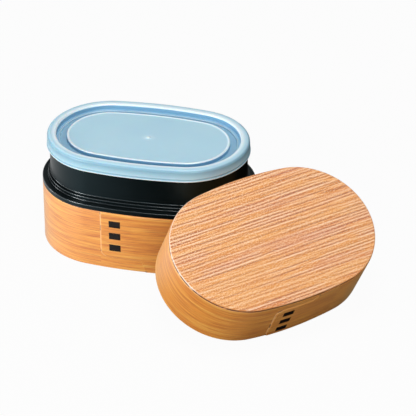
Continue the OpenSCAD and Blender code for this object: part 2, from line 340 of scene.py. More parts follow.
# Its grid is finer at the cut end, the step and the long edges. LAP_UV_SHIFT gives it other streaks.
LAP_STOPS, LAP_STEPS = (-LAP_START, -21.5, 6.0, 11.5, LAP_END), (21, 35, 23, 23)
ROW_STOPS, ROW_STEPS = (0.0, 0.04, 0.9, 1.0), (7, 29, 17)
LAP_UV_SHIFT = 0.7
CUT_BEVEL, EDGE_BEVEL = 1.3, 0.9
# The seam is a faint painted highlight line along the cut end, with dark nicks at these heights.
SEAM_LINE, SEAM_FAINT = 0.6, 0.45
SEAM_NICKS, NICK_REACH, NICK_R = (1.4, 13.0, 15.4, 34.0), 0.9, 0.6


def front_edge(x):
    """Y of the front side arc at x: a circle about (0, SIDE_Y)."""
    return SIDE_Y - np.sqrt(SIDE_R ** 2 - x ** 2)


def lap_edge(x):
    """Y of the lap's outer face at x: the front side arc turned about the point where it fades out."""
    pivot = np.array([LAP_END, front_edge(LAP_END)])
    arm = np.array([0.0, SIDE_Y]) - pivot
    cosine, sine = math.cos(LAP_TILT), math.sin(LAP_TILT)
    middle = pivot + [arm[0] * cosine - arm[1] * sine, arm[0] * sine + arm[1] * cosine]
    return middle[1] - np.sqrt(SIDE_R ** 2 - (x - middle[0]) ** 2)


def slab_between(outer, inner):
    """Points and quads of a closed slab between two grids of the same shape: both faces and the
    four rims that join them."""
    rows, columns = outer.shape[:2]
    i, j = np.meshgrid(np.arange(rows - 1), np.arange(columns - 1), indexing="ij")
    low = i * columns + j
    face = np.stack([low, low + 1, low + columns + 1, low + columns], -1).reshape(-1, 4)
    under = face[:, ::-1] + rows * columns
    r, c = np.arange(rows), np.arange(columns)
    border = np.concatenate([c[:-1], r[:-1] * columns + columns - 1,
                             (rows - 1) * columns + c[:0:-1], r[:0:-1] * columns])
    after = np.roll(border, -1)
    rim = np.stack([border, border + rows * columns, after + rows * columns, after], -1)
    return np.vstack([outer.reshape(-1, 3), inner.reshape(-1, 3)]), np.vstack([face, under, rim])


def spaced(stops, steps):
    """Numbers from the first stop to the last, with so many even steps between each stop and the next."""
    spans = zip(stops, stops[1:], steps)
    return np.concatenate([stops[:1]] + [np.linspace(low, high, n + 1)[1:] for low, high, n in spans])


def lap_grid(height, margin):
    """X and z of the lap's grid, and its top edge at each x. The tongue is the hoop's height less the
    margin. Its corner is a quarter circle, and at LAP_STEP it has climbed to the full height."""
    tongue = height - margin
    x = spaced(LAP_STOPS, LAP_STEPS)
    corner = np.sqrt(np.clip(LAP_CORNER ** 2 - (x + LAP_START - LAP_CORNER) ** 2, 0, None))
    rise = np.clip((x - LAP_STEP + LAP_SLOPE) / LAP_SLOPE, 0, 1) * (margin - LAP_SHY)
    top = np.where(x < LAP_CORNER - LAP_START, tongue - LAP_CORNER + corner, tongue + rise)[:, None]
    z = LAP_RIM_GAP + spaced(ROW_STOPS, ROW_STEPS)[None] * (top - LAP_RIM_GAP)
    return np.broadcast_to(x[:, None], z.shape), z, top


def edge_gaps(x, z, top, tongue):
    """Distances from the lap's points to its cut end and to its top edge. On the round corner both
    are LAP_CORNER less the distance to its middle. Past LAP_STEP the top edge has no bevel."""
    past_x, past_z = LAP_CORNER - LAP_START - x, z - tongue + LAP_CORNER
    on_corner = (past_x > 0) & (past_z > 0)
    round_edge = LAP_CORNER - np.hypot(past_x, past_z)
    to_end = np.where(on_corner, round_edge, x + LAP_START)
    to_top = np.where(on_corner, round_edge, top - z)
    return to_end, np.where(x > LAP_STEP, EDGE_BEVEL, to_top)


def lap_marks(x, z, top, height, to_end, to_top):
    """How pale the lap's points are painted, which is 1 less their share of the way up the bevels: bare
    wood on the cut end and a painted highlight on the top edge's bevel. Then how strong its seam is: a
    faint painted highlight near the cut end, and full, which is dark, in its nicks and where it climbs."""
    bare_and_highlight = 1 - np.clip(np.minimum(to_end / CUT_BEVEL, (top - z) / EDGE_BEVEL), 0, 1)
    edge = np.minimum(to_end, np.where(x > LAP_CORNER - LAP_START, LAP_CORNER, to_top))
    nick = np.max([np.clip(1.6 - np.abs(z - at) / NICK_REACH, 0, 1) for at in SEAM_NICKS], axis=0)
    line = np.clip(1.5 - edge / SEAM_LINE, 0, 1) * (SEAM_FAINT + (1 - SEAM_FAINT) * nick)
    climb = np.clip(1.8 - np.hypot(x - LAP_STEP, z - height + NICK_R) / NICK_R, 0, 1)
    return bare_and_highlight, np.maximum(line, climb)


def bent_hoop(name, height, margin, place):
    """A hoop in a mouth frame, whose z is 0 on the open rim: a swept oval wall, and the lap as a
    thin slab over its front. The lap's face falls off over a bevel at its edges: its height over the
    wall is its full height times the distance to the edge over the bevel's width."""
    wall = rounded_section([(HOOP_WALL / 2, 0, 0), (0, 0, 0.35), (0, height, 0.5),
                            (HOOP_WALL, height, 0.4), (HOOP_WALL, 0, 0.35), (HOOP_WALL / 2, 0, 0)])
    points, quads, uv = swept(wall, oval_ring(RING_STEP, -LAP_START))
    x, z, top = lap_grid(height, margin)
    to_end, to_top = edge_gaps(x, z, top, height - margin)
    cover = np.clip(to_end / CUT_BEVEL, 0, 1) * np.clip(to_top / EDGE_BEVEL, 0, 1)
    cover = cover * np.clip((z - LAP_RIM_GAP) / LAP_FADE, 0, 1) ** 0.5
    lift = front_edge(x) - lap_edge(x)
    outer = np.stack([x, front_edge(x) - LAP_SKIN - lift * cover, z], -1)
    inner = np.stack([x, front_edge(x) + LAP_DEPTH, np.clip(z, LAP_TUCK, height - LAP_TUCK)], -1)
    lap_points, lap_quads = slab_between(outer, inner)
    lap_uv = np.stack([lap_points[:, 0] + LAP_START, lap_points[:, 2]], -1)[lap_quads.ravel()]
    lap_uv = lap_uv * MILLIMETRE + [LAP_UV_SHIFT, 0.0]
    face = slice(len(points), len(points) + x.size)
    cut, seam = np.zeros((2, len(points) + len(lap_points)))
    cut[face], seam[face] = [mark.ravel() for mark in lap_marks(x, z, top, height, to_end, to_top)]
    faces = quads.tolist() + (lap_quads + len(points)).tolist()
    return make_piece(name, np.vstack([points, lap_points]), faces, place,
                      np.vstack([uv, lap_uv]), {"cut_end": cut, "seam": seam})


def on_lower_box(points):
    """Turns a mouth frame over onto the lower box: z counts down from the hoop's upper rim."""
    return (points * [1, 1, -1] + [0, 0, BODY_H]) * MILLIMETRE


hoop_finish, shader, wire = new_finish("hoop_varnish", Specular_IOR_Level=0.35, Coat_Weight=1.0,
                                       Coat_Roughness=0.45, Coat_IOR=2.1, Sheen_Weight=0.3,
                                       Sheen_Roughness=0.4, Sheen_Tint=(1.0, 0.82, 0.42, 1.0))
along = wire.node("UVMap", {"uv_map": "along"})
cut_end = wire.carried("cut_end")
seam = wire.carried("seam")
bend = wire.node("CombineXYZ", None, {1: along.scaled(14, 50, 1).noise(2.0) * 2.4})
streaks = along.scaled(14, 420, 1).moved(bend).noise(4.0, 0.62)
threads = along.scaled(30, 1700, 1).moved(bend).noise(3.0, 0.6)
broad = along.scaled(6, 75, 1).moved(bend).noise(2.0, 0.5)
AMBER, HONEY, STRAW = srgb(205, 108, 14), srgb(237, 150, 36), srgb(250, 189, 80)
WIDE_BAND, FINE_THREAD = srgb(246, 168, 60), srgb(188, 90, 12)
RAW_WOOD_AND_HIGHLIGHT, SEAM_HIGHLIGHT, SEAM_DARK = srgb(250, 182, 96), srgb(252, 208, 158), srgb(92, 44, 30)
colour = streaks.ramp((0.3, AMBER), (0.5, HONEY), (0.7, STRAW))
colour = (broad.span(0.45, 0.7) * 0.4).blend(colour, WIDE_BAND)
colour = (threads.span(0.5, 0.63) * 0.85).blend(colour, FINE_THREAD)
# Bare wood on the cut end and a painted highlight along the tongue's top bevel, then the seam's faint
# painted highlight line and its dark nicks.
colour = (cut_end.span(0.1, 0.7) * 0.6).blend(colour, RAW_WOOD_AND_HIGHLIGHT)
colour = (seam.span(0.05, 0.4) * 0.35).blend(colour, SEAM_HIGHLIGHT)
colour = seam.span(0.5, 0.8).blend(colour, SEAM_DARK)
connect(shader, colour, 0.38 + streaks * 0.14, threads, 0.00005)

lower_hoop = bent_hoop("lower_hoop", BODY_H, BODY_MARGIN, on_lower_box)
lower_hoop.data.materials.append(hoop_finish)
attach(lower_hoop, "lower_box")
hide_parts("body_hoop")

# ---------------------------------------------------------------- bark stitches of the lower box
# Three strips of dark cherry bark, 9 by 5.7 mm, sewn through slits in the lap to hold it.
# Each is pillowed a little and turns down into its slits at both ends.

STITCH_W, STITCH_H, STITCH_PITCH, STITCH_X = 9.0, 5.7, 10.35, 13.3
STITCH_PROUD, STITCH_SKIN, STITCH_DEPTH = 0.15, 0.03, 0.5
STITCH_COUNT = 3
BODY_DROP = 9.4


def bark_stitches(name, drop, place):
    """Pillowed strips in a mouth frame. The height over the lap is the strip's stand-out times
    (1 - across^6) * (1 - along^6), with both counted from -1 to 1, and the rims go into the wood."""
    across, along = np.meshgrid(np.linspace(-1, 1, 25), np.linspace(-1, 1, 19), indexing="ij")
    pillow = (1 - across ** 6) * (1 - along ** 6)
    points, faces = [], []
    for i in range(STITCH_COUNT):
        x = -STITCH_X + across * STITCH_W / 2
        z = drop + i * STITCH_PITCH + along * STITCH_H / 2
        outer = np.stack([x, lap_edge(x) - STITCH_SKIN - STITCH_PROUD * pillow, z], -1)
        inner = np.stack([x, lap_edge(x) + STITCH_DEPTH, z], -1)
        slab, quads = slab_between(outer, inner)
        faces += (quads + sum(len(p) for p in points)).tolist()
        points.append(slab)
    return make_piece(name, np.vstack(points), faces, place, sharp=50)


bark_finish, shader, wire = new_finish("cherry_bark", Specular_IOR_Level=0.4)
place = wire.on_piece()
fibres = place.scaled(300, 300, 1500).noise(3.0, 0.6)
blotches = place.scaled(260, 260, 420).noise(2.0, 0.5)
BARK_DARK, BARK_PALE, BARK_WORN = srgb(12, 9, 8), srgb(30, 22, 19), srgb(40, 29, 24)
colour = fibres.ramp((0.3, BARK_DARK), (0.7, BARK_PALE))
colour = (blotches.span(0.5, 0.75) * 0.5).blend(colour, BARK_WORN)
connect(shader, colour, 0.36 + blotches * 0.25, fibres, 0.0001)

lower_stitches = bark_stitches("lower_stitches", BODY_DROP, on_lower_box)
lower_stitches.data.materials.append(bark_finish)
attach(lower_stitches, "lower_box")
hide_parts("body_stitches")

# ---------------------------------------------------------------- black liner of the lower box
# A moulded resin tub inside the hoop, whose rim band covers the hoop's upper edge and lies flush
# with its outer face. Satin black, with a soft moulded texture, and a 5 mm radius at its floor.

BAND_TOP, BAND_SHY = 52.8, 0.05
LINER_OUT, LINER_IN = 3.7, 5.7
LINER_FLOOR = BASE_T + 1.8
REST_GAP = 0.02
FADE_REACH = 0.35
WIDEST_EDGE = 1.7


def faded(section):
    """A section with a point added FADE_REACH from both ends of its long steps, so that a value that
    is high at a corner has faded out there."""
    points = [section[0]]
    for here, there in zip(section[:-1], section[1:]):
        length = np.linalg.norm(there - here)
        if length > 3 * FADE_REACH:
            inward = (there - here) * FADE_REACH / length
            points += [here + inward, there - inward]
        points.append(there)
    return np.array(points)


def outer_edges(section):
    """1 where a section turns over a tight outward corner, 0 on its flats, its hollows and its wide
    rounds: the sine of the turn at a point, over the shorter step beside it, is over 1 / WIDEST_EDGE."""
    step = np.diff(section, axis=0)
    length = np.linalg.norm(step, axis=1)
    step = step / length[:, None]
    turn = step[:-1, 0] * step[1:, 1] - step[:-1, 1] * step[1:, 0]
    bend = turn / np.minimum(length[:-1], length[1:])
    return np.concatenate([[0.0], (bend * WIDEST_EDGE > 1).astype(float), [0.0]])


RESIN_DARK, RESIN_PALE = srgb(5, 9, 9), srgb(8, 12, 13)


def black_resin(name, edge_gloss, grain_depth):
    """Black moulded resin: near black with a green-grey cast, a fine even grain that swallows the
    light on its flats, and edges that handling has polished, which get a clear coat."""
    finish, shader, wire = new_finish(name, Specular_IOR_Level=0.4, Coat_Roughness=0.22, Coat_IOR=2.05,
                                      Specular_Tint=(0.5, 0.86, 1.0, 1.0), Coat_Tint=(0.8, 0.93, 1.0, 1.0))
    place = wire.on_piece()
    edge = wire.carried("edge")
    grain = place.scaled(2600, 2600, 2600).noise(2.0, 0.5)
    clouds = place.scaled(30, 30, 30).noise(2.0, 0.5)
    colour = clouds.ramp((0.3, RESIN_DARK), (0.7, RESIN_PALE))
    connect(shader, colour, 0.3 + clouds * 0.1, grain, grain_depth, edge * edge_gloss)
    return finish


resin_finish = black_resin("black_resin", 1.0, 0.00001)
section = rounded_section([
    (CAP_INSET, LINER_FLOOR, 0), (LINER_IN, LINER_FLOOR, 5), (LINER_IN, BAND_TOP, 0.4),
    (BAND_SHY, BAND_TOP, 0.4), (BAND_SHY, BODY_H + REST_GAP, 0.3), (LINER_OUT, BODY_H + REST_GAP, 0),
    (LINER_OUT, BASE_T + REST_GAP, 1), (CAP_INSET, BASE_T + REST_GAP, 0)])
black_liner = swept_piece("black_liner", faded(section), plain_ring, stand, {"edge": outer_edges})
black_liner.data.materials.append(resin_finish)
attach(black_liner, "lower_box")
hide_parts("body_liner")

# ---------------------------------------------------------------- upper container
# The upper tier: a moulded black tub that stands on the liner's band with a stepped flange, which
# also centres the outer lid. Its spigot sits in the liner, and its tall neck carries the seal lid.
# A rib, the flange and a collar each overhang a narrow groove, which gives the ledge its bright edges.

FLANGE_TOP, CUP_TOP, CUP_BOTTOM, CUP_FLOOR = 56.5, 87.9, 46.8, 48.8
FLANGE_OUT, NECK_OUT, NECK_IN, SPIGOT_OUT = 4.1, 6.3, 8.3, 6.1
RIB_TOP, RIB_STEP, COLLAR_TOP, COLLAR_OUT = 54.1, 0.45, 58.3, 5.9
GROOVE, LIP = 0.9, 0.6

section = rounded_section([
    (CAP_INSET, CUP_FLOOR, 0), (NECK_IN, CUP_FLOOR, 5), (NECK_IN, CUP_TOP, 0.6), (NECK_OUT, CUP_TOP, 0.6),
    (NECK_OUT, COLLAR_TOP, 0.2), (COLLAR_OUT, COLLAR_TOP, 0.3), (COLLAR_OUT, COLLAR_TOP - LIP, 0.1),
    (COLLAR_OUT + GROOVE, COLLAR_TOP - LIP, 0), (COLLAR_OUT + GROOVE, FLANGE_TOP, 0),
    (FLANGE_OUT + RIB_STEP, FLANGE_TOP, 0.35), (FLANGE_OUT + RIB_STEP, FLANGE_TOP - LIP, 0.1),
    (FLANGE_OUT + RIB_STEP + GROOVE, FLANGE_TOP - LIP, 0), (FLANGE_OUT + RIB_STEP + GROOVE, RIB_TOP, 0),
    (FLANGE_OUT, RIB_TOP, 0.3), (FLANGE_OUT, RIB_TOP - LIP, 0.1), (FLANGE_OUT + GROOVE, RIB_TOP - LIP, 0),
    (FLANGE_OUT + GROOVE, BAND_TOP + REST_GAP, 0), (SPIGOT_OUT, BAND_TOP + REST_GAP, 0),
    (SPIGOT_OUT, CUP_BOTTOM, 1), (CAP_INSET, CUP_BOTTOM, 0)])
inner_container = swept_piece("inner_container", faded(section), plain_ring, stand, {"edge": outer_edges})
inner_container.data.materials.append(resin_finish)
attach(inner_container, "upper_box")
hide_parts("upper_container")

# ---------------------------------------------------------------- divider
# A loose moulded plate of matt resin, 1.6 mm thick, that stands across the upper container.
# Its two feet lie along the long walls, and its lower corners are round to clear the tub's floor.

DIVIDER_T, DIVIDER_FOOT, DIVIDER_CORNER = 1.6, 14.0, 9.0
DIVIDER_BEVEL = 0.4
low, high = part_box("container_divider")
DIVIDER_HALF, DIVIDER_BOTTOM, DIVIDER_TOP = high.y / MILLIMETRE, low.z / MILLIMETRE, high.z / MILLIMETRE


def divider_slab(half_thick, first, last):
    """A slab of the divider from y first to last. Its lower side follows the side view's round
    corners: it climbs by r - sqrt(r^2 - d^2), d into the corner's radius r."""
    y, x = np.meshgrid(np.linspace(first, last, 25), [-half_thick, half_thick], indexing="ij")
    into = np.clip(np.abs(y) - DIVIDER_HALF + DIVIDER_CORNER, 0, DIVIDER_CORNER)
    climb = DIVIDER_CORNER - np.sqrt(DIVIDER_CORNER ** 2 - into ** 2)
    bottom = np.stack([x, y, DIVIDER_BOTTOM + climb], -1)
    top = np.stack([x, y, np.full_like(x, DIVIDER_TOP)], -1)
    return slab_between(top, bottom)


slabs = [divider_slab(DIVIDER_T / 2, DIVIDER_T / 2 - DIVIDER_HALF, DIVIDER_HALF - DIVIDER_T / 2),
         divider_slab(DIVIDER_FOOT / 2, -DIVIDER_HALF, DIVIDER_T - DIVIDER_HALF),
         divider_slab(DIVIDER_FOOT / 2, DIVIDER_HALF - DIVIDER_T, DIVIDER_HALF)]
starts = np.cumsum([0] + [len(slab[0]) for slab in slabs])
faces = np.vstack([slab[1] + start for slab, start in zip(slabs, starts)]).tolist()
divider_plate = make_piece("divider_plate", np.vstack([slab[0] for slab in slabs]), faces, stand)
bevel = divider_plate.modifiers.new("soft_edges", "BEVEL")
bevel.width, bevel.segments, bevel.limit_method = DIVIDER_BEVEL * MILLIMETRE, 3, "ANGLE"
divider_plate.data.materials.append(black_resin("matt_resin", 0.0, 0.00005))
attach(divider_plate, "divider")
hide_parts("container_divider")

# ---------------------------------------------------------------- seal lid
# A soft snap-on lid of pale blue polyethylene, 1.3 mm thick. A rounded rim goes over the neck with a
# skirt outside and a sealing lip inside, then come a stepped channel and a raised, shallow dish.
# The plastic is a little translucent. Painted shade makes the channel deeper blue. The outside is darker,
# partly for the black neck behind it and partly as painted shade, and painted highlights whiten its edges.
# A gate mark is left.

CREST = 89.2
SKIRT_BOTTOM, SKIRT_OUT = 79.4, 4.1
RIM_OUT, RIM_IN, STEP_IN, CHANNEL_IN, DISH_IN = 4.7, 11.7, 14.3, 19.7, 22.1
STEP_Z, CHANNEL_Z, LIP_Z, DISH_Z = 84.8, 83.3, 87.1, 86.6
SEAL_T = 1.3
DISH_FLAT = 4.0
LIP_OUT, LIP_IN, LIP_BOTTOM = 8.7, 9.9, 83.9
GATE_R, GATE_H, GATE_SINK = 2.2, 0.4, 0.1
GATE_TURNS, GATE_RINGS = 32, 8
GATE_HALO = 6.25

section = rounded_section([
    (DISH_IN + DISH_FLAT, DISH_Z, 0), (DISH_IN, DISH_Z, 2), (CHANNEL_IN, LIP_Z + 0.1, 0.9),
    (CHANNEL_IN, CHANNEL_Z, 0.5), (STEP_IN, CHANNEL_Z, 0.6), (STEP_IN, STEP_Z, 0.5), (RIM_IN, STEP_Z, 0.6),
    (RIM_IN, CREST, 1.4), (RIM_OUT, CREST, 2.4), (SKIRT_OUT + 0.25, SKIRT_BOTTOM + 2.6, 1),
    (SKIRT_OUT + 0.55, SKIRT_BOTTOM + 1.5, 0.8), (SKIRT_OUT, SKIRT_BOTTOM + 0.9, 0.3),
    (SKIRT_OUT, SKIRT_BOTTOM, 0.4), (SKIRT_OUT + SEAL_T, SKIRT_BOTTOM, 0.4),
    (SKIRT_OUT + SEAL_T, CUP_TOP, 0.5), (LIP_OUT, CUP_TOP, 0.2), (LIP_OUT, LIP_BOTTOM, 0.3),
    (LIP_IN, LIP_BOTTOM, 0.3), (LIP_IN, STEP_Z - SEAL_T, 0), (STEP_IN - SEAL_T, STEP_Z - SEAL_T, 0),
    (STEP_IN - SEAL_T, CHANNEL_Z - SEAL_T, 0.4), (CHANNEL_IN + SEAL_T, CHANNEL_Z - SEAL_T, 0.4),
    (CHANNEL_IN + SEAL_T, DISH_Z - SEAL_T, 0.4), (DISH_IN + DISH_FLAT, DISH_Z - SEAL_T, 0)], arc_steps=7)


CHANNEL_FLOOR_SHADE = 0.45
# Heights over the skirt's lower edge, and how much the plastic is darkened there, partly for the black
# neck behind it and partly as painted shade.
DARK_HEIGHTS = (0.8, 1.1, 1.7, 2.6, 5.0, 7.0, 9.0, 9.7)
DARK_SHARES = (0, 1, 0.8, 0.15, 0.35, 0.9, 1, 0)
# How strong the painted highlights on the crest and on the dish's edge are.
CREST_LIGHT, DISH_LIGHT = 0.75, 0.85


def channel_shade_depth(section):
    """How much painted shade darkens a point of the section in the lid's channel: 1 on the steep walls of
    the channel, CHANNEL_FLOOR_SHADE on its floor, falling to 0 at the rim's crest and the dish."""
    inset, height = section[:, 0], section[:, 1]
    inside = np.clip((inset - RIM_IN + 0.6) / 0.8, 0, 1)
    inside = inside * np.clip((CHANNEL_IN + 0.5 - inset) / 0.5, 0, 1)
    to_wall = np.minimum(np.abs(inset - RIM_IN), np.abs(inset - CHANNEL_IN) + 0.3)
    wall = np.clip(1.4 - to_wall / 0.5, CHANNEL_FLOOR_SHADE, 1)
    highest = np.where(inset > STEP_IN, LIP_Z - 0.3, CREST - 0.8)
    return inside * wall * np.clip((highest - height) / 0.7, 0, 1)


def over_black_and_shade(section):
    """How dark the outside is painted by height, partly for the black neck behind the plastic and partly
    as painted shade: most under the crest and along the bead above the skirt's edge, less half way down,
    none on the crest's top."""
    dark = np.interp(section[:, 1] - SKIRT_BOTTOM, DARK_HEIGHTS, DARK_SHARES)
    return dark * (section[:, 0] < RIM_OUT + 2)


def painted_highlights(section):
    """1 where a painted highlight whitens the plastic: the lower edge of the skirt, the inner half of the
    crest and the rounded edge of the dish."""
    inset, height = section[:, 0], section[:, 1]
    low_edge = np.clip((SKIRT_BOTTOM + 0.75 - height) / 0.3, 0, 1)
    crest = np.clip((inset - 7.4) / 1.6, 0, 1) * np.clip((RIM_IN - inset + 0.1) / 0.2, 0, 1)
    dish = np.clip(1.4 - np.abs(inset - CHANNEL_IN - 0.8) / 1.1, 0, 1)
    crest, dish = crest * (height > CREST - 1), dish * (height > LIP_Z - 0.9)
    return low_edge + CREST_LIGHT * crest + DISH_LIGHT * dish


seal_finish, shader, wire = new_finish("blue_polyethylene", Specular_IOR_Level=0.4, Subsurface_Weight=0.15,
                                       Subsurface_Scale=0.002, Coat_Roughness=0.25, Coat_IOR=1.6)
place = wire.on_piece()
fold = wire.carried("fold")
skirt = wire.carried("skirt")
cloud = place.scaled(22, 22, 22).noise(3.0, 0.5)
grain = place.scaled(1800, 1800, 1800).noise(2.0, 0.5)
PANEL_BLUE, PANEL_PALE = srgb(172, 209, 226), srgb(180, 215, 229)
CHANNEL_SHADE_BLUE, SKIRT_BLUE = srgb(92, 150, 190), srgb(128, 170, 190)
HIGHLIGHT_AND_GATE_WHITE, EDGE_HIGHLIGHT = srgb(236, 245, 249), srgb(214, 232, 240)
colour = cloud.ramp((0.3, PANEL_BLUE), (0.7, PANEL_PALE))
# Painted shade: deeper blue on the channel's walls and floor.
colour = fold.blend(colour, CHANNEL_SHADE_BLUE)
# The outside is darker, partly for the black neck behind the plastic and partly as painted shade under the
# crest and along the bead.
colour = skirt.blend(colour, SKIRT_BLUE)
edge = wire.carried("edge")
pale = wire.carried("pale")
# The halo falls from 1 at the lid's middle to 0 at GATE_HALO, and is a little shorter across the lid.
from_gate = place.node("VectorMath", {"operation": "LENGTH"}, {0: place.scaled(1, 1.2, 0)}, output="Value")
halo = 1 - from_gate * (1 / (GATE_HALO * MILLIMETRE))
pale = pale + halo.span(0, 1) * 0.4
# Painted highlights and the gate mark's pale halo go to white, and the tight edges get a further painted
# highlight.
colour = pale.blend(colour, HIGHLIGHT_AND_GATE_WHITE)
colour = (edge * 0.35).blend(colour, EDGE_HIGHLIGHT)
connect(shader, colour, 0.3 + cloud * 0.12, grain, 0.00002, edge * 0.8)

marks = {"fold": channel_shade_depth, "edge": outer_edges, "pale": painted_highlights, "skirt": over_black_and_shade}
blue_seal_lid = swept_piece("blue_seal_lid", faded(section), plain_ring, stand, marks, sharp=60)
turn, out = np.meshgrid(np.arange(GATE_TURNS) * 2 * math.pi / GATE_TURNS,
                        np.linspace(0, 1, GATE_RINGS + 1), indexing="ij")
# The mark's height falls as (1 - out^2)^0.7 from its middle to its rim, which lies under the dish.
dome = np.stack([GATE_R * out * np.cos(turn), GATE_R * out * np.sin(turn),
                 DISH_Z - GATE_SINK + (GATE_H + GATE_SINK) * (1 - out ** 2) ** 0.7], -1).reshape(-1, 3)
i, j = np.meshgrid(np.arange(GATE_TURNS), np.arange(GATE_RINGS), indexing="ij")
here, after = i * (GATE_RINGS + 1) + j, (i + 1) % GATE_TURNS * (GATE_RINGS + 1) + j
dome_quads = np.stack([here, here + 1, after + 1, after], -1).reshape(-1, 4)
gate_rim = (np.arange(GATE_TURNS) * (GATE_RINGS + 1) + GATE_RINGS).tolist()
gate_values = dict.fromkeys(marks, np.zeros(len(dome))) | {"pale": 0.8 - 0.8 * out.ravel()}
gate_faces = dome_quads.tolist() + [gate_rim]
gate_mark = make_piece("gate_mark", dome, gate_faces, stand, None, gate_values, sharp=60)
gate_mark.data.materials.append(seal_finish)
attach(gate_mark, "seal")
blue_seal_lid.data.materials.append(seal_finish)
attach(blue_seal_lid, "seal")
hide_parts("seal_lid")

# ---------------------------------------------------------------- hoop of the outer lid
# The deep outer lid is a second bent hoop, 40.4 mm high, lapped and sewn like the lower one. It is
# taken off and leans on the lower box: its low edge is on the table and its rim on the black band.

LID_H, LID_MARGIN, LID_DROP = 40.4, 5.6, 6.8
LEAN_TURN = math.radians(-44.3)
BAND_EDGE, SEAT_GAP, LEAN_OVERLAP = 1.0, 0.3, 0.5
LAP_REACH = 54.966

# The lid's low edge is its lap's face, LAP_REACH from its middle. Its rim meets the band's rounded
# edge at touch_run from there, so it leans until the rim is tangent to a circle of touch_r about the
# middle of that rounding.
touch_r = BAND_EDGE + SEAT_GAP
touch_run = HALF_WIDTH + LAP_REACH - LEAN_OVERLAP
lean_angle = math.asin((BAND_TOP - BAND_EDGE) / math.hypot(touch_run, touch_r))
lean_angle = lean_angle + math.atan2(touch_r, touch_run)
touch_out = END_R - BAND_EDGE + touch_r * math.sin(lean_angle)
lean = (Matrix.Translation((END_X, 0, 0)) @ Matrix.Rotation(LEAN_TURN, 4, "Z")
        @ Matrix.Translation((touch_out, 0, touch_run * math.sin(lean_angle)))
        @ Matrix.Rotation(math.pi / 2, 4, "Z") @ Matrix.Rotation(lean_angle, 4, "X")
        @ Matrix.Translation((0, LEAN_OVERLAP - HALF_WIDTH, 0)))


def on_outer_lid(points):
    """Leans a mouth frame on the lower box."""
    turn = np.array(lean)
    return (points @ turn[:3, :3].T + turn[:3, 3]) * MILLIMETRE


outer_hoop = bent_hoop("outer_hoop", LID_H, LID_MARGIN, on_outer_lid)
outer_hoop.data.materials.append(hoop_finish)
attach(outer_hoop, "outer_lid")
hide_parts("lid_hoop")

# ---------------------------------------------------------------- bark stitches of the outer lid
# The same three strips of dark cherry bark, sewn through the lid's lap.
# The first of them is nearer to the open rim than on the lower box.

outer_stitches = bark_stitches("outer_stitches", LID_DROP, on_outer_lid)
outer_stitches.data.materials.append(bark_finish)
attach(outer_stitches, "outer_lid")
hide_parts("lid_stitches")

# ---------------------------------------------------------------- top board of the outer lid
# A 2.2 mm board glued over the hoop, with a shoulder inside it. It is brushed so that the hard lines of
# the grain stand up, with thin cracks. Its colour follows the height: pale ridges with orange slopes and
# red-brown hollows, which is partly the grain's own tone and partly painted shade in the hollows and a
# painted highlight on the ridge tops.
# The relief runs along the board and fades out over its rounded edge.

BOARD_T, BOARD_SET, BOARD_EDGE, SHOULDER = 2.2, 0.3, 1.0, 2.0
RELIEF = 0.24
# Waves of ridges are summed, each with so many ridges in a millimetre: least, likeliest and most.
RIDGES, RIDGES_PER_MM, WANDER = 36, (0.14, 0.34, 0.64), 2.8
RIDGE_SEED, WANDER_SEED, STRENGTH_SEED, FINE_SEED, CRACK_SEED = 7, 20, 90, 91, 92
NOISE_CELLS = 256
BOARD_ROWS, BOARD_COLUMNS = 350, 112
EDGE_ROWS = np.array([0, 0.03, 0.08, 0.14, 0.22, 0.32, 0.44, 0.58, 0.74, 0.92, 1.12, 1.36])


def value_noise(x, y, seed):
    """Smooth noise from 0 to 1: random values at whole numbers, blended with 3t^2 - 2t^3 between."""
    table = np.random.default_rng(seed).random((NOISE_CELLS, NOISE_CELLS))
    cell_x, cell_y = np.floor(x).astype(int), np.floor(y).astype(int)
    tx, ty = x - cell_x, y - cell_y
    tx, ty = tx * tx * (3 - 2 * tx), ty * ty * (3 - 2 * ty)
    x0, x1 = cell_x % NOISE_CELLS, (cell_x + 1) % NOISE_CELLS
    y0, y1 = cell_y % NOISE_CELLS, (cell_y + 1) % NOISE_CELLS
    near = table[x0, y0] * (1 - ty) + table[x0, y1] * ty
    far = table[x1, y0] * (1 - ty) + table[x1, y1] * ty
    return near * (1 - tx) + far * tx


def half_chord(y, inset):
    """Half the oval's length at a distance y from its middle line, for an inset."""
    y = np.abs(y)
    side = np.sqrt(np.clip((SIDE_R - inset) ** 2 - (y + SIDE_Y) ** 2, 0, None))
    end = END_X + np.sqrt(np.clip((END_R - inset) ** 2 - y ** 2, 0, None))
    return np.where(y > (END_R - inset) * math.cos(TANGENT), side, end)


def edge_distance(x, y, inset):
    """Distance from a point inside the oval to its edge."""
    x, y = np.abs(x), np.abs(y)
    on_side = x * SIDE_Y <= (y + SIDE_Y) * END_X
    side = SIDE_R - np.hypot(x, y + SIDE_Y)
    end = END_R - np.hypot(x - END_X, y)
    return np.where(on_side, side, end) - inset


